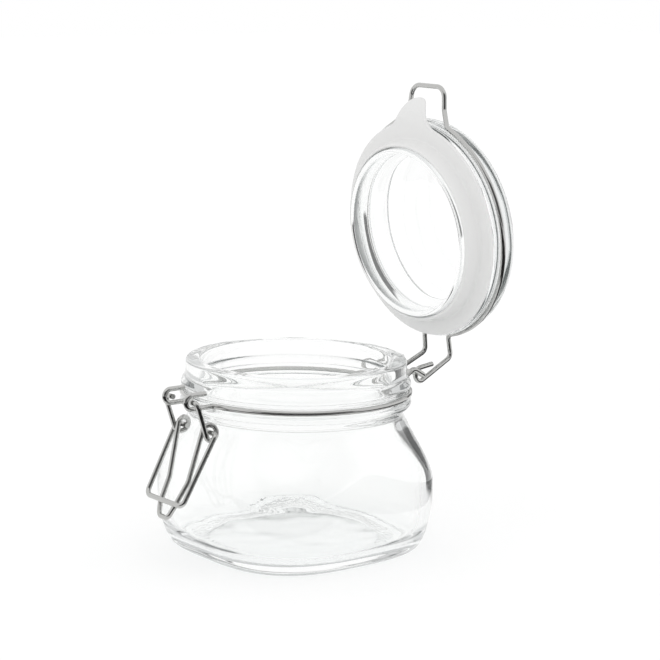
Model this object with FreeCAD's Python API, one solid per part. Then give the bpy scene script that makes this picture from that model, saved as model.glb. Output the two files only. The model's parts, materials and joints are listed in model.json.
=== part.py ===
import FreeCAD, Part
import math
import os

# Clip-top storage jar with its lid standing open.
# Origin: centre of the ring the jar stands on. +Z up, clip at -Y, hinge at +Y.
# The lid is drawn shut and then swung open about the hinge bar.

V = FreeCAD.Vector

# driving dimensions, mm
RIM_Z = 80.0            # mouth of the jar above the table
MOUTH_R = 39.6          # clear radius through the lip
WALL = 3.8              # glass thickness of the body
FLOOR = 5.0             # glass thickness at the floor
STAND_R = 37.0          # inside radius of the ring the jar stands on
PUSH_UP = 1.0           # hollow under the base
WIRE = 2.1              # wire diameter
NECK_Z = 66.2           # height of the neck wire
NECK_R = 47.45          # radius of the neck wire's centreline
EYE = V(7.5, -57.8, 69.0)       # eye that carries the lever
EYE_BEND = 2.8
COIL = V(9.9, -50.4, 56.1)      # coil that carries the bail
COIL_BEND = 3.0
COIL_STEP = 1.5                 # half the sideways travel of the coil
HINGE = V(12.4, 59.9, 67.4)     # corner of the hinge bar
HOOK_X = 9.7                    # where the lid wire hooks the bar
HOOK_BEND = 2.95
BAIL = V(12.8, -65.8, 28.45)    # corner of the bail at rest on the lever
OPEN_DEG = 82.9         # how far the lid stands open
LID_RING_R = 47.25      # radius of the lid wire's centreline
LID_RING_Z = 85.9       # its height when shut
GASKET_T = 1.4          # rubber thickness
TAB_FROM = -46.8        # where the pull tab starts to curl
TAB_CURL = 0.062        # how fast it curls

# (height, half width, squareness) of the body from base to neck
BODY = [
    (0.0, 43.6, 3.0),
    (0.9, 45.7, 3.0),
    (3.0, 47.6, 3.0),
    (8.0, 49.6, 3.0),
    (14.0, 50.75, 3.0),
    (20.0, 51.25, 3.1),
    (26.0, 51.4, 3.1),
    (32.0, 51.4, 3.05),
    (38.0, 51.2, 2.57),
    (45.0, 50.3, 2.1),
    (50.0, 48.4, 2.0),
    (54.5, 45.9, 2.0),
    (58.0, 44.7, 2.0),
    (61.0, 44.1, 2.0),
]
# (height, half width, squareness) of the hollow inside the body
HOLLOW = [
    (FLOOR, 40.0, 2.8),
    (FLOOR + 1.6, 43.6, 2.9),
    (FLOOR + 6.0, 46.4, 3.0),
    (15.0, 47.1, 3.0),
    (20.0, 51.2 - WALL, 3.1),
    (26.0, 51.35 - WALL, 3.1),
    (32.0, 51.35 - WALL, 3.05),
    (38.0, 51.2 - WALL, 2.57),
    (45.0, 49.9 - WALL, 2.1),
    (50.0, 47.6 - WALL, 2.0),
    (54.5, 42.0, 2.0),
    (58.0, 40.9, 2.0),
    (61.0, 39.9, 2.0),
]
# (radius, height) of the neck, from the shoulder round the lip and back down
NECK = [
    (42.8, 56.8), (47.2, 60.4), (48.0, 61.3), (48.2, 62.4), (47.9, 63.6), (46.9, 64.4),
    (46.35, 65.4), (46.35, 67.0), (46.9, 68.2), (47.8, 69.1), (47.9, 70.2), (47.2, 71.8),
    (46.3, 73.2), (46.0, 74.6), (46.0, 78.6), (45.7, 79.5), (45.0, RIM_Z),
    (40.6, RIM_Z), (39.9, 79.6), (MOUTH_R, 78.8), (40.2, 70.0), (40.4, 64.0), (40.2, 56.0),
]
# (radius, height) of the shut lid, from the middle of its top round to the cavity
LID = [
    (0.0, 98.0), (36.0, 98.0), (39.5, 97.6), (42.8, 96.2), (45.4, 94.0), (46.7, 91.6),
    (47.0, 89.4), (46.9, 87.6), (46.2, 86.8), (46.15, 85.0), (46.8, 84.5), (47.2, 83.8),
    (47.2, 82.2), (46.6, 81.45), (37.2, 81.45), (37.0, 81.0), (36.6, 72.8), (36.0, 72.0),
    (34.8, 72.0), (34.2, 72.6), (33.9, 81.6), (33.4, 82.4), (32.5, 82.6), (32.3, 86.4),
    (31.6, 87.2), (31.2, 89.0), (29.6, 90.6), (0.0, 91.4),
]

os.makedirs("parts", exist_ok=True)


def revolve(points):
    """Solid turned about Z from a closed (radius, height) outline."""
    wire = Part.makePolygon([V(r, 0, z) for r, z in points + points[:1]])
    return Part.Face(wire).revolve(V(0, 0, 0), V(0, 0, 1), 360)


def section(half, power, z):
    """Closed curve at height z between a square and a circle."""
    pts = []
    for i in range(48):
        a = math.pi * (i + 0.5) / 24
        c, s = math.cos(a), math.sin(a)
        r = half / (abs(c) ** power + abs(s) ** power) ** (1.0 / power)
        pts.append(V(r * c, r * s, z))
    curve = Part.BSplineCurve()
    curve.interpolate(Points=pts, PeriodicFlag=True)
    return Part.Wire([curve.toShape()])


def tower(stations):
    """Solid through a stack of (height, half width, squareness) sections."""
    return Part.makeLoft([section(h, p, z) for z, h, p in stations], True, False)


def bent(points, bends):
    """Wire path through points, each inner corner rounded to its bend radius."""
    if isinstance(bends, float):
        bends = [bends] * (len(points) - 2)
    edges = []
    start = points[0]
    for i in range(1, len(points) - 1):
        p = points[i]
        a = (points[i - 1] - p).normalize()
        b = (points[i + 1] - p).normalize()
        half = a.getAngle(b) / 2.0
        if half > math.pi / 2 - 0.004:
            continue
        back = bends[i - 1] / math.tan(half)
        t0, t1 = p + a * back, p + b * back
        axis = (a + b).normalize()
        mid = p + axis * (bends[i - 1] / math.sin(half) - bends[i - 1])
        if (t0 - start).Length > 1e-4:
            edges.append(Part.makeLine(start, t0))
        edges.append(Part.Arc(t0, mid, t1).toShape())
        start = t1
    if (points[-1] - start).Length > 1e-4:
        edges.append(Part.makeLine(start, points[-1]))
    return Part.Wire(edges)


def sweep(path):
    """Round wire of the common diameter along a path."""
    edge = path.Edges[0]
    start = edge.valueAt(edge.FirstParameter)
    along = edge.tangentAt(edge.FirstParameter)
    ring = Part.Wire([Part.makeCircle(WIRE / 2, start, along)])
    return path.makePipeShell([ring], True, False, 2)


def arc_points(centre, radius, first, last, steps, x0, x1):
    """Corners round a circle in the Y-Z plane, drifting from x0 to x1."""
    pts = []
    turn = math.radians(last - first) / steps
    out = radius / math.cos(turn / 2)
    for i in range(steps):
        a = math.radians(first) + turn * (i + 0.5)
        x = x0 + (x1 - x0) * (i + 0.5) / steps
        pts.append(V(x, centre.y + out * math.cos(a), centre.z + out * math.sin(a)))
    return pts


def mirrored(points):
    """The same points on the -X side, in reverse order."""
    return [V(-p.x, p.y, p.z) for p in reversed(points)]


def ring_points(radius, z, first, last, steps):
    """Corners round a level circle, angles from the -Y side towards +X."""
    turn = math.radians(last - first) / steps
    out = radius / math.cos(turn / 2)
    pts = []
    for i in range(steps):
        a = math.radians(first) + turn * (i + 0.5)
        pts.append(V(out * math.sin(a), -out * math.cos(a), z))
    return pts


def swing(shape, deg):
    """Turn a shape about the hinge bar, positive closes the lid."""
    shape.rotate(V(0, HINGE.y, HINGE.z), V(1, 0, 0), deg)
    return shape


def glass_jar():
    lip = NECK.index((45.0, RIM_Z))
    outer = tower(BODY).fuse(revolve([(0, 56.8)] + NECK[:lip + 1] + [(0, RIM_Z)]))
    throat = [(0, 56.0), (0, RIM_Z + 1), (NECK[lip + 1][0], RIM_Z + 1)] + NECK[lip + 1:]
    hollow = tower(HOLLOW).fuse(revolve(throat))
    dish = revolve([(0, -1), (STAND_R, -1), (STAND_R, 0), (STAND_R - 4, PUSH_UP), (0, PUSH_UP)])
    return outer.cut(hollow).cut(dish).Solids[0]


def neck_wire():
    # front eye, from its cut end round to where it leaves the neck
    eye = [V(EYE.x, -51.2, EYE.z + EYE_BEND)]
    eye += arc_points(EYE, EYE_BEND, 90, 270, 3, EYE.x, EYE.x)
    # the ring itself, from just past the eye to just before the hinge arm
    first = math.degrees(math.asin(EYE.x / NECK_R))
    eye += [V(EYE.x, -math.sqrt(NECK_R ** 2 - EYE.x ** 2) - 0.5, NECK_Z)]
    last = 180 - math.degrees(math.asin(HINGE.x / NECK_R))
    ring = ring_points(NECK_R, NECK_Z, first + 4, last - 5, 14)
    arm = [
        V(HINGE.x + 0.6, math.sqrt(NECK_R ** 2 - HINGE.x ** 2) + 0.4, NECK_Z),
        V(HINGE.x, 53.4, 71.2),
        V(HINGE.x, HINGE.y, HINGE.z),
    ]
    side = eye + ring + arm
    bends = [2.6, 2.6, 2.6, 2.0] + [30.0] * len(ring) + [2.0, 3.0, 1.6]
    return sweep(bent(side + mirrored(side), bends + bends[::-1]))


def lever_wire():
    side = [V(5.4, EYE.y, EYE.z), V(COIL.x + COIL_STEP, EYE.y, EYE.z)]
    side += arc_points(COIL, COIL_BEND, 201, 518, 7, COIL.x + COIL_STEP, COIL.x - COIL_STEP)
    side += [V(6.6, -58.7, 36.2), V(5.0, -64.3, 26.5), V(3.0, -66.2, 21.8)]
    bends = [1.8] + [2.7] * 7 + [8.0, 5.0, 2.6]
    return sweep(bent(side + mirrored(side), bends + bends[::-1]))


def bail_wire():
    side = [V(6.0, COIL.y, COIL.z), V(14.0, COIL.y, COIL.z), BAIL]
    bends = [1.8, 3.0]
    return sweep(bent(side + mirrored(side), bends + bends[::-1]))


def shut(points):
    """Points given for the open lid, taken back to the shut position."""
    turn = FreeCAD.Rotation(V(1, 0, 0), OPEN_DEG)
    centre = V(0, HINGE.y, HINGE.z)
    return [centre + turn.multVec(p - centre) for p in points]


def lid_wire():
    # hook round the hinge bar, from its cut end to where it heads for the lid
    hook = [V(HOOK_X, HINGE.y + 6.4, HINGE.z + 3.9)]
    hook += arc_points(HINGE, HOOK_BEND, 95, 290, 4, HOOK_X, HOOK_X)
    leg = [V(8.4, 56.6, 86.1), V(7.8, 46.9, 86.0)]
    ring = ring_points(LID_RING_R, LID_RING_Z, 166, 25, 14)
    loop = [V(16.6, -44.9, LID_RING_Z), V(11.2, -51.0, 89.8), V(10.2, -60.6, 91.6)]
    side = shut(hook) + leg + ring + loop
    bends = [2.7] * 4 + [3.0, 2.0] + [30.0] * 14 + [4.0, 4.0, 5.0]
    return swing(sweep(bent(side + mirrored(side), bends + bends[::-1])), -OPEN_DEG)


def lid_glass():
    return swing(revolve(LID), -OPEN_DEG)


def gasket():
    top = RIM_Z + 0.03 + GASKET_T
    ring = revolve([(37.4, RIM_Z + 0.03), (46.2, RIM_Z + 0.03), (46.4, 80.3), (46.4, top), (37.4, top)])
    # pull tab: a strip curling up as distance squared, trimmed to its outline
    below = []
    for i in range(13):
        y = -42 - 1.25 * i
        below.append(V(-14, y, RIM_Z + 0.03 + TAB_CURL * max(0, TAB_FROM - y) ** 2))
    above = [p + V(0, 0, GASKET_T) for p in reversed(below)]
    strip = Part.Face(Part.makePolygon(below + above + below[:1])).extrude(V(28, 0, 0))
    right = [V(14.0, -42, 70), V(12.6, -45.2, 70), V(10.0, -47.8, 70), V(8.0, -51.0, 70)]
    right += [V(6.4, -54.4, 70), V(4.8, -56.0, 70), V(2.2, -56.8, 70)]
    plan = right + mirrored(right)
    trim = Part.Face(Part.makePolygon(plan + plan[:1])).extrude(V(0, 0, 30))
    return swing(ring.fuse(strip.common(trim)).removeSplitter().Solids[0], -OPEN_DEG)


PIECES = [glass_jar, neck_wire, lever_wire, bail_wire, lid_wire, lid_glass, gasket]

for make in PIECES:
    solid = make()
    print(make.__name__, solid.isValid(), solid.ShapeType, round(solid.Volume, 1))
    solid.exportStep("parts/" + make.__name__ + ".step")
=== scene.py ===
import bmesh
import bpy
import json
import math
import numpy as np
from mathutils import Matrix, Vector


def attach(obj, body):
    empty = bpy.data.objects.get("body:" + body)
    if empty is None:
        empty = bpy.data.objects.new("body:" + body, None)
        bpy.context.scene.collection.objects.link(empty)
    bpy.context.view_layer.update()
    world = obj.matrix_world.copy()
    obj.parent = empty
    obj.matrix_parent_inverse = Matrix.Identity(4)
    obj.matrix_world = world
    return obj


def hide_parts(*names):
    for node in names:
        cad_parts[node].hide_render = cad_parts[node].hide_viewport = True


# A clear glass clip-top jar standing open on a pale floor. Sizes are in mm, meshes in metres.
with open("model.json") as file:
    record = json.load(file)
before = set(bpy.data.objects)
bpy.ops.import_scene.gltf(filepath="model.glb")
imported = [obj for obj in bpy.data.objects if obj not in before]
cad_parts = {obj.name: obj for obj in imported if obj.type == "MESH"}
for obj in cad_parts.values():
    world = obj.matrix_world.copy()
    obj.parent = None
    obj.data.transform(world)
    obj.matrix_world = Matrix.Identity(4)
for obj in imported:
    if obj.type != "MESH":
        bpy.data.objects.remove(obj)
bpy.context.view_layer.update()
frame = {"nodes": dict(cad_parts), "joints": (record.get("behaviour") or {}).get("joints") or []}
mm = 0.001
joinWithin, flatWithin = 1e-7, 1e-8  # metres: points this near are one, edges this short go

# the lid is drawn shut and then turned back about the hinge bar
hinge = next(j for j in frame["joints"] if j["name"] == "lid_hinge")
hingeAt = np.array(hinge["pos_m"]) / mm
openAngle = math.radians(-max(hinge["range_deg"]))


# Corner cutting: each side of the line gives its points at a quarter and at three quarters,
# and the two ends stay.
def smoothed(points, rounds):
    p = np.array(points, float)
    for _ in range(rounds):
        cut = np.stack([p[:-1] * 0.75 + p[1:] * 0.25, p[:-1] * 0.25 + p[1:] * 0.75], 1)
        p = np.concatenate([p[:1], cut.reshape(-1, p.shape[1]), p[-1:]])
    return p


# Points of the shut lid turned about the hinge bar: y' = y cos - z sin, z' = y sin + z cos,
# both measured from the bar.
def opened(points):
    y, z = points[:, 1] - hingeAt[1], points[:, 2] - hingeAt[2]
    turned = points.copy()
    turned[:, 1] = hingeAt[1] + math.cos(openAngle) * y - math.sin(openAngle) * z
    turned[:, 2] = hingeAt[2] + math.sin(openAngle) * y + math.cos(openAngle) * z
    return turned


# A mesh over a grid of points. Each row closes on itself, each quad joins a row to the next,
# and with closedRows the last row joins the first.
def gridMesh(name, x, y, z, closedRows=False, turn=None):
    rows, cols = x.shape
    co = np.stack([x, y, z], -1).reshape(-1, 3)
    if turn is not None:
        co = turn(co)
    r = np.arange(rows if closedRows else rows - 1)[:, None]
    c = np.arange(cols)[None, :]
    nextR, nextC = (r + 1) % rows, (c + 1) % cols
    quads = np.stack([r * cols + c, r * cols + nextC, nextR * cols + nextC, nextR * cols + c], -1)
    quads = quads.reshape(-1, 4)
    mesh = bpy.data.meshes.new(name)
    mesh.vertices.add(len(co))
    mesh.vertices.foreach_set("co", (co * mm).ravel())
    mesh.loops.add(quads.size)
    mesh.loops.foreach_set("vertex_index", quads.ravel())
    mesh.polygons.add(len(quads))
    mesh.polygons.foreach_set("loop_start", np.arange(0, quads.size, 4))
    mesh.update(calc_edges=True)
    mesh.validate()
    mesh.polygons.foreach_set("use_smooth", np.ones(len(mesh.polygons), bool))
    piece = bpy.data.objects.new(name, mesh)
    bpy.context.scene.collection.objects.link(piece)
    return piece


# Merges the points of a row that has shrunk to the axis and turns all faces outwards.
def closePoles(piece):
    shell = bmesh.new()
    shell.from_mesh(piece.data)
    bmesh.ops.remove_doubles(shell, verts=shell.verts, dist=joinWithin)
    bmesh.ops.dissolve_degenerate(shell, edges=shell.edges, dist=flatWithin)
    bmesh.ops.recalc_face_normals(shell, faces=shell.faces)
    shell.to_mesh(piece.data)
    shell.free()


# Sets a node's sockets by name, from a number, a colour or another node's output.
def fillSockets(tree, node, sockets):
    for name, value in sockets.items():
        if isinstance(value, bpy.types.NodeSocket):
            tree.links.new(value, node.inputs[name])
        else:
            node.inputs[name].default_value = value
    return node


# A new node of a kind with its sockets set.
def addNode(tree, kind, sockets):
    return fillSockets(tree, tree.nodes.new("ShaderNode" + kind), sockets)


# A new material with its main shader, whose sockets are set by name.
def nodeMaterial(name, sockets):
    material = bpy.data.materials.new(name)
    material.use_nodes = True
    tree = material.node_tree
    return material, tree, fillSockets(tree, tree.nodes["Principled BSDF"], sockets)


# One math node over two sockets or numbers, a first and then b.
def calc(tree, operation, a, b):
    node = tree.nodes.new("ShaderNodeMath")
    node.operation = operation
    for i, value in enumerate((a, b)):
        if isinstance(value, (int, float)):
            node.inputs[i].default_value = value
        else:
            tree.links.new(value, node.inputs[i])
    return node.outputs[0]


# How far a vector points along an axis: their dot product.
def along(tree, vector, axis):
    node = tree.nodes.new("ShaderNodeVectorMath")
    node.operation = "DOT_PRODUCT"
    tree.links.new(vector, node.inputs[0])
    node.inputs[1].default_value = axis
    return node.outputs["Value"]


# Goes from low to high as the value goes from start to end, by a smooth step or a straight line.
def ramp(tree, value, start, end, low, high, kind="SMOOTHSTEP"):
    node = tree.nodes.new("ShaderNodeMapRange")
    node.interpolation_type = kind
    fillSockets(tree, node, {
        "Value": value, "From Min": start, "From Max": end, "To Min": low, "To Max": high})
    return node.outputs["Result"]


# Shows the first shader where the factor is 0 and the second where it is 1.
def mixed(tree, factor, first, second):
    node = tree.nodes.new("ShaderNodeMixShader")
    for i, socket in enumerate((factor, first, second)):
        tree.links.new(socket, node.inputs[i])
    return node.outputs[0]


# A shader that lets rays go straight on, times the tint.
def clear(tree, tint=(1, 1, 1, 1)):
    return addNode(tree, "BsdfTransparent", {"Color": tint}).outputs[0]


# Where a point lies on its own piece, in metres.
def placeOn(tree):
    return tree.nodes.new("ShaderNodeTexCoord").outputs["Object"]


# What kind of ray asks, and how deep it is.
def rayKinds(tree):
    return tree.nodes.new("ShaderNodeLightPath").outputs


# Makes a shader the one the material shows.
def show(tree, shader):
    tree.links.new(shader, tree.nodes["Material Output"].inputs["Surface"])


# scales count per metre and heights are in metres
glassLook = {
    "colour": (0.993, 0.998, 0.995, 1), "ior": 1.5,
    "waveScale": 45.0, "waveDetail": 1.0, "waveHeight": 0.0004,
    "dotScale": 700.0, "dotHeight": 0.0002, "dotTop": 0.7,  # stippled foot ring, up to dotTop mm
    "surfaces": 7.5, "mirrors": 2.5,  # a ray that has met more than these leaves the glass
}


# Lamps and soft light go straight through, tinted by the piece's shade. A ray that has met too
# many surfaces or mirrored too often goes straight on, tinted grey: painted shade that darkens the
# glass edges.
def lightThrough(tree, shader, piece):
    rays = rayKinds(tree)
    lamp = calc(tree, "MAXIMUM", rays["Is Shadow Ray"], rays["Is Diffuse Ray"])
    late = calc(tree, "MAXIMUM",
                calc(tree, "GREATER_THAN", rays["Ray Depth"], glassLook["surfaces"]),
                calc(tree, "GREATER_THAN", rays["Glossy Depth"], glassLook["mirrors"]))
    # painted shade: trapped rays leave with a grey tint that darkens the glass edges
    glass = mixed(tree, late, shader.outputs[0], clear(tree, piece["edge"]))
    show(tree, mixed(tree, lamp, glass, clear(tree, piece["shade"])))


# Clear glass whose normal follows soft noise and, on a stippled foot, fine cells that fade out
# from half of dotTop up to dotTop.
def glassMaterial(name, piece, stippled):
    material, tree, shader = nodeMaterial(name, {
        "Base Color": glassLook["colour"], "Roughness": 0.0, "IOR": glassLook["ior"],
        "Transmission Weight": 1.0})
    place = placeOn(tree)
    waves = addNode(tree, "TexNoise", {
        "Vector": place, "Scale": glassLook["waveScale"], "Detail": glassLook["waveDetail"]})
    normal = addNode(tree, "Bump", {
        "Height": waves.outputs["Fac"], "Strength": 1.0,
        "Distance": glassLook["waveHeight"]}).outputs["Normal"]
    if stippled:
        cells = addNode(tree, "TexVoronoi", {"Vector": place, "Scale": glassLook["dotScale"]})
        top = glassLook["dotTop"] * mm
        low = ramp(tree, along(tree, place, (0, 0, 1)), top, 0.5 * top, 0.0, 1.0, "LINEAR")
        normal = addNode(tree, "Bump", {
            "Height": cells.outputs["Distance"], "Strength": low,
            "Distance": glassLook["dotHeight"], "Normal": normal}).outputs["Normal"]
    fillSockets(tree, shader, {"Normal": normal})
    lightThrough(tree, shader, piece)
    return material


# roughness is its lowest and highest value
steelLook = {"colour": (0.52, 0.52, 0.51, 1), "patchScale": 260.0, "patchDetail": 3.0,
             "roughness": (0.1, 0.24)}


# Bright drawn wire whose roughness follows noise between the two values.
def steelMaterial():
    material, tree, shader = nodeMaterial("steelWire", {
        "Base Color": steelLook["colour"], "Metallic": 1.0})
    wear = addNode(tree, "TexNoise", {
        "Vector": placeOn(tree), "Scale": steelLook["patchScale"],
        "Detail": steelLook["patchDetail"]})
    low, high = steelLook["roughness"]
    gloss = ramp(tree, wear.outputs["Fac"], 0.0, 1.0, low, high, "LINEAR")
    fillSockets(tree, shader, {"Roughness": gloss})
    return material


rubberLook = {"colour": (0.82, 0.82, 0.815, 1), "roughness": 0.5, "ior": 1.45,
              "grainScale": 900.0, "grainStrength": 0.25, "grainHeight": 0.0002,
              "root": (74.6, 77.4)}  # heights, lid shut, between which the lip turns see-through


# Pale rubber with a very fine grain. Through glass, the root of its lip lets the light by:
# a smooth step of the height along the lid's own axis.
def rubberMaterial():
    material, tree, shader = nodeMaterial("paleRubber", {
        "Base Color": rubberLook["colour"], "Roughness": rubberLook["roughness"],
        "IOR": rubberLook["ior"]})
    place = placeOn(tree)
    grain = addNode(tree, "TexNoise", {"Vector": place, "Scale": rubberLook["grainScale"]})
    bump = addNode(tree, "Bump", {
        "Height": grain.outputs["Fac"], "Strength": rubberLook["grainStrength"],
        "Distance": rubberLook["grainHeight"]})
    fillSockets(tree, shader, {"Normal": bump.outputs["Normal"]})
    lidUp = opened(hingeAt[None, :] + np.array([[0, 0, 1.0]]))[0] - hingeAt
    barHeight = float(lidUp @ hingeAt) - hingeAt[2]
    low, high = (float(barHeight + h) * mm for h in rubberLook["root"])
    bare = ramp(tree, along(tree, place, tuple(lidUp)), low, high, 0.0, 1.0)
    behindGlass = mixed(tree, bare, shader.outputs[0], clear(tree))
    show(tree, mixed(tree, rayKinds(tree)["Is Transmission Ray"], shader.outputs[0], behindGlass))
    return material


jar = {
    "around": 220, "rounds": 3,
    # the first tint is painted shade, the grey that trapped rays leave with to darken the glass
    # edges; the second tints light passing through
    "edge": (0.62, 0.63, 0.63, 1), "shade": (0.97, 0.975, 0.975, 1),
    # each row is height, half width and squareness: 2 is a circle, 3 a soft square
    "outside": [
        (1.0, 0.0, 2), (1.0, 33.0, 2), (0.2, 36.6, 2.1), (0.0, 38.2, 2.5), (0.0, 40.5, 2.8),
        (0.0, 43.4, 3.0), (1.0, 45.8, 3.0), (3.0, 47.6, 3.0), (8.0, 49.6, 3.0), (14.0, 50.75, 3.0),
        (20.0, 51.25, 3.1), (26.0, 51.4, 3.1), (32.0, 51.4, 3.05), (38.0, 51.2, 2.57),
        (45.0, 50.3, 2.1), (50.0, 48.4, 2), (54.5, 45.9, 2), (57.6, 44.5, 2), (59.4, 45.6, 2),
        (61.3, 47.9, 2), (62.4, 48.2, 2), (63.6, 47.9, 2), (64.4, 46.7, 2), (65.4, 46.3, 2),
        (67.0, 46.3, 2), (68.2, 46.7, 2), (69.1, 47.8, 2), (70.2, 47.9, 2), (71.8, 47.2, 2),
        (73.2, 46.3, 2), (74.6, 46.0, 2), (78.2, 46.0, 2), (79.6, 45.8, 2), (80.0, 44.6, 2),
        (80.0, 42.5, 2),
    ],
    "inside": [
        (80.0, 41.0, 2), (79.8, 39.9, 2), (78.8, 39.6, 2), (70.0, 40.2, 2), (64.0, 40.4, 2),
        (58.0, 40.7, 2), (54.5, 42.0, 2), (50.0, 43.8, 2), (45.0, 46.1, 2.1), (38.0, 47.4, 2.57),
        (32.0, 47.6, 3.05), (26.0, 47.6, 3.1), (20.0, 47.4, 3.1), (15.0, 47.1, 3.0),
        (11.0, 46.4, 3.0), (7.2, 44.6, 2.9), (5.3, 41.5, 2.8), (5.0, 36.0, 2.5), (5.0, 20.0, 2),
        (5.0, 0.0, 2),
    ],
    # the mould leaves the inside uneven, from this share of the rows on and past this half width
    "uneven": 0.18, "unevenFrom": 0.62, "unevenRise": 8, "unevenPast": 30,
}


# Radius at angle a is half / (|cos a|^n + |sin a|^n)^(1/n) for each height. The inside gives
# way by uneven * (1 + sin(3a + 0.06z) * sin(0.11z + 1.3 cos 2a)).
def jarSurface():
    rows = smoothed(jar["outside"] + jar["inside"], jar["rounds"])
    z, half, n = (rows[:, i][:, None] for i in range(3))
    a = np.linspace(0, 2 * np.pi, jar["around"], endpoint=False)[None, :]
    r = half / (np.abs(np.cos(a)) ** n + np.abs(np.sin(a)) ** n) ** (1 / n)
    share = np.arange(len(z)) / len(z)
    inner = np.clip((share - jar["unevenFrom"]) * jar["unevenRise"], 0, 1)[:, None]
    ripple = 1 + np.sin(3 * a + 0.06 * z) * np.sin(0.11 * z + 1.3 * np.cos(2 * a))
    r = r - jar["uneven"] * inner * ripple * (half > jar["unevenPast"])
    return gridMesh("glassJar", r * np.cos(a), r * np.sin(a), z + 0 * a)


print("jar")
glassJar = jarSurface()
closePoles(glassJar)
glassJar.data.materials.append(glassMaterial("jarGlass", jar, True))
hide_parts("glass_jar")
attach(glassJar, "jar")


lid = {
    "around": 256, "rounds": 3,
    # the first tint is painted shade, the grey that trapped rays leave with to darken the glass
    # edges; the second tints light passing through
    "edge": (0.84, 0.85, 0.85, 1), "shade": (0.7, 0.71, 0.71, 1),
    # radius and height, lid shut: the top with its groove and bead, the side with the wire's
    # groove, the flange, the boss and its hollow
    "outline": [
        (0.0, 97.5), (35.6, 97.5), (36.1, 96.9), (36.6, 97.1), (37.0, 97.6), (37.6, 97.7),
        (38.4, 97.6), (39.8, 97.1), (42.8, 95.9), (45.4, 93.8), (46.7, 91.4), (46.9, 89.2),
        (46.8, 87.6), (46.15, 86.8), (46.1, 85.2), (46.8, 84.4), (47.1, 83.8), (47.1, 82.4),
        (46.6, 81.5), (37.3, 81.5), (36.9, 80.8), (36.6, 72.8), (36.0, 72.0), (34.8, 72.0),
        (34.2, 72.8), (33.9, 81.4), (33.5, 82.3), (32.6, 82.7), (32.3, 86.8), (32.1, 87.15),
        (31.4, 87.4), (24.0, 89.4), (14.0, 90.8), (0.0, 91.4),
    ],
}


# The outline turned about the lid's axis: x = r cos a, y = r sin a.
def lidSurface():
    rows = smoothed(lid["outline"], lid["rounds"])
    a = np.linspace(0, 2 * np.pi, lid["around"], endpoint=False)[None, :]
    r, z = rows[:, 0][:, None], rows[:, 1][:, None]
    return gridMesh("lidGlass", r * np.cos(a), r * np.sin(a), z + 0 * a, turn=opened)


print("lid")
lidGlass = lidSurface()
closePoles(lidGlass)
lidGlass.data.materials.append(glassMaterial("lidGlassClear", lid, False))
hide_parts("lid_glass")
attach(lidGlass, "lid")


seal = {
    "around": 840, "rounds": 2,
    # radius and height once round the section: top face, edge, underside, lip on the boss
    "section": [
        (37.5, 81.4), (41.0, 81.4), (45.8, 81.4), (46.35, 81.3), (46.35, 80.2), (45.8, 80.06),
        (41.4, 80.06), (40.2, 80.05), (39.5, 79.6), (39.2, 78.0), (38.9, 75.6), (38.6, 73.8),
        (38.1, 73.2), (37.4, 73.2), (37.0, 73.6), (37.0, 76.0), (37.0, 79.6), (37.2, 81.0),
    ],
    "outer": 46.35, "fixed": 41.0,
    # angle from the front in degrees and radius of the pull tab's outline
    "tab": [(0, 56.5), (2.6, 56.4), (5.0, 55.7), (7.0, 54.2), (9.2, 51.2), (12.2, 48.1),
            (15.2, 46.6), (18, 46.35)],
    "easing": 9,  # neighbours averaged to round the tab's outline
    "tabHalf": 16, "curlFrom": 46.8, "curl": 0.062,
}


# The section carried round the axis. Past the fixed radius it is stretched to the outline:
# radius = fixed + (r - fixed) * (reach - fixed) / (outer - fixed). The tab curls up as
# curl * (distance past curlFrom) squared.
def sealSurface():
    a = np.linspace(-np.pi, np.pi, seal["around"], endpoint=False)
    tab = np.array(seal["tab"], float)
    reach = np.interp(np.abs(np.degrees(a)), tab[:, 0], tab[:, 1])
    ease, wrap = np.ones(seal["easing"]) / seal["easing"], seal["easing"] - 1
    reach = np.concatenate([reach[-wrap:], reach, reach[:wrap]])
    reach = np.convolve(reach, ease, "same")[wrap:-wrap][:, None]
    section = smoothed(seal["section"] + seal["section"][:1], seal["rounds"])[:-1]
    r, z = section[:, 0][None, :], section[:, 1][None, :]
    stretch = (reach - seal["fixed"]) / (seal["outer"] - seal["fixed"])
    r = r + np.maximum(0, r - seal["fixed"]) * (stretch - 1)
    x, y = r * np.sin(a)[:, None], -r * np.cos(a)[:, None]
    past = np.maximum(0, -y - seal["curlFrom"]) * (np.abs(x) < seal["tabHalf"])
    return gridMesh("rubberSeal", x, y, z + seal["curl"] * past ** 2, closedRows=True, turn=opened)


print("seal")
rubberSeal = sealSurface()
closePoles(rubberSeal)
rubberSeal.data.materials.append(rubberMaterial())
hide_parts("gasket")
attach(rubberSeal, "lid")

print("wires")
steel = steelMaterial()
for node in ("neck_wire", "lid_wire", "lever_wire", "bail_wire"):
    wire = frame["nodes"][node]
    wire.data.materials.clear()
    wire.data.materials.append(steel)


# size in metres
floorLook = {"size": 8.0, "colour": (0.92, 0.92, 0.92, 1), "roughness": 0.9, "lift": 0.12}


# The floor glows by lift for the camera, metal and glass alone, so it is white and keeps its
# shadows.
def floorMaterial():
    material, tree, shader = nodeMaterial("paleFloor", {
        "Base Color": floorLook["colour"], "Roughness": floorLook["roughness"],
        "Specular IOR Level": 0.0, "Emission Color": (1, 1, 1, 1)})
    rays = rayKinds(tree)
    seen = calc(tree, "MAXIMUM", rays["Is Camera Ray"], rays["Is Glossy Ray"])
    seen = calc(tree, "MAXIMUM", seen, rays["Is Transmission Ray"])
    fillSockets(tree, shader, {"Emission Strength": calc(tree, "MULTIPLY", seen, floorLook["lift"])})
    return material


print("floor")
bpy.ops.mesh.primitive_plane_add(size=floorLook["size"], location=(0, 0, 0))
floor = bpy.context.object
floor.name = "floor"
floor.data.materials.append(floorMaterial())


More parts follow.
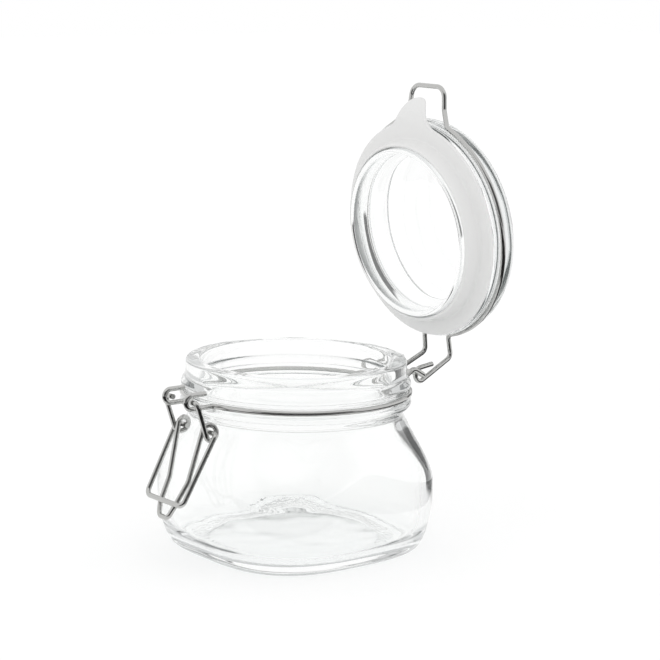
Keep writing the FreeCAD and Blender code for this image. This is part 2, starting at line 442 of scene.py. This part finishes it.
# eye and aim in mm, roll in degrees, lens and sensor width as on a full-frame camera
view = {"eye": (695.7, -532.7, 250.7), "aim": (0, 17.6, 89.5), "roll": 0.885, "lens": 117.27,
        "sensor": 36, "seesTo": 20}

print("camera")
camera = bpy.data.cameras.new("camera")
camera.sensor_width = view["sensor"]
camera.lens = view["lens"]
camera.clip_end = view["seesTo"]
cameraObj = bpy.data.objects.new("camera", camera)
bpy.context.scene.collection.objects.link(cameraObj)
eye, aim = Vector(view["eye"]) * mm, Vector(view["aim"]) * mm
look = (aim - eye).to_track_quat("-Z", "Y").to_matrix().to_4x4()
roll = Matrix.Rotation(math.radians(view["roll"]), 4, "Z")
cameraObj.matrix_world = Matrix.Translation(eye) @ look @ roll
bpy.context.scene.camera = cameraObj
bpy.context.scene.view_settings.view_transform = "Standard"


# White studio. Metal and glass also see dark cards and a dark room, which draw their edges.
studio = {
    "side": (0.62, 0.785, 0.0), "towards": (0.785, -0.62, 0.0),
    # the white above, the room's grey towards the viewer and the white at the far left: cosines
    # between which each one fades in or out
    "above": (0.55, 0.75), "roomEdge": (0.3, 0.55), "room": 0.1, "leftEdge": (-0.7, -0.45),
    "mirrors": 2.5,  # the room shows in the first reflections only
    # where each card stands from the middle of the jar, whether glass shows it from behind, the
    # ray depths that see it, how wide its sides and foot fade, and its grey
    "cards": [
        {"aside": (58, 112), "forward": (-60, -60), "up": (0.6, 80), "through": True,
         "depths": (2.5, 3.5), "softAside": 6, "softUp": 10, "grey": 0.05},
        {"aside": (420, 850), "forward": (-1000, -1000), "up": (0.5, 400), "through": True,
         "depths": (0.5, 4.5), "softAside": 60, "softUp": 40, "grey": 0.1},
        {"aside": (-700, 500), "forward": (85, 1400), "up": (0.5, 0.5), "through": False,
         "depths": (0.5, 2.5), "softAside": 1, "softUp": 0, "grey": 0.02},
        {"aside": (110, 500), "forward": (-150, 85), "up": (0.5, 0.5), "through": False,
         "depths": (0.5, 2.5), "softAside": 1, "softUp": 0, "grey": 0.02},
    ],
}


# A card's grey shows where the ray's depth lies between its two depths, times a ramp in from
# each side and one up from its foot. Elsewhere it is clear.
def cardMaterial(name, card):
    grey = card["grey"]
    material, tree, shader = nodeMaterial(name, {
        "Base Color": (grey, grey, grey, 1), "Roughness": 1.0, "Specular IOR Level": 0.0})
    depth, place = rayKinds(tree)["Ray Depth"], placeOn(tree)
    across = along(tree, place, studio["side"])
    (left, right), soft = card["aside"], card["softAside"]
    shown = calc(tree, "MULTIPLY", calc(tree, "GREATER_THAN", depth, card["depths"][0]),
                 calc(tree, "LESS_THAN", depth, card["depths"][1]))
    shown = calc(tree, "MULTIPLY", shown,
                 ramp(tree, across, left * mm, (left + soft) * mm, 0.0, 1.0))
    shown = calc(tree, "MULTIPLY", shown,
                 ramp(tree, across, (right - soft) * mm, right * mm, 1.0, 0.0))
    if card["softUp"]:
        foot = card["up"][0]
        up = along(tree, place, (0, 0, 1))
        shown = calc(tree, "MULTIPLY", shown,
                     ramp(tree, up, foot * mm, (foot + card["softUp"]) * mm, 0.0, 1.0))
    show(tree, mixed(tree, shown, clear(tree), shader.outputs[0]))
    return material


# A plane whose corners are side * aside + towards * forward + height.
def darkCard(name, card):
    (a0, a1), (f0, f1), (z0, z1) = card["aside"], card["forward"], card["up"]
    spans = np.array([(a0, f0, z0), (a1, f0, z0), (a1, f1, z1), (a0, f1, z1)], float)
    axes = np.array([studio["side"], studio["towards"], (0, 0, 1)])
    mesh = bpy.data.meshes.new(name)
    mesh.from_pydata((spans @ axes * mm).tolist(), [], [(0, 1, 2, 3)])
    obj = bpy.data.objects.new(name, mesh)
    bpy.context.scene.collection.objects.link(obj)
    mesh.materials.append(cardMaterial(name + "Grey", card))
    obj.visible_camera = obj.visible_diffuse = obj.visible_shadow = False
    obj.visible_transmission = card["through"]


print("dark cards")
for i, card in enumerate(studio["cards"]):
    darkCard(f"darkCard{i + 1}", card)


# The sky is white, strength 1. First reflections see the largest of the room's grey, the white
# at the left and the white above.
def studioSky():
    sky = bpy.data.worlds.new("studio")
    bpy.context.scene.world = sky
    sky.use_nodes = True
    tree = sky.node_tree
    direction = tree.nodes.new("ShaderNodeTexCoord").outputs["Generated"]
    above = ramp(tree, along(tree, direction, (0, 0, 1)), *studio["above"], 0.0, 1.0)
    room = ramp(tree, along(tree, direction, studio["towards"]), *studio["roomEdge"], 1.0,
                studio["room"])
    left = ramp(tree, along(tree, direction, studio["side"]), *studio["leftEdge"], 1.0, 0.0)
    seen = calc(tree, "MAXIMUM", calc(tree, "MAXIMUM", room, left), above)
    rays = rayKinds(tree)
    mirror = calc(tree, "MULTIPLY", rays["Is Glossy Ray"],
                  calc(tree, "LESS_THAN", rays["Ray Depth"], studio["mirrors"]))
    strength = addNode(tree, "Mix", {"Factor": mirror, "A": 1.0, "B": seen}).outputs["Result"]
    fillSockets(tree, tree.nodes["Background"], {"Strength": strength, "Color": (1, 1, 1, 1)})


print("sky")
studioSky()
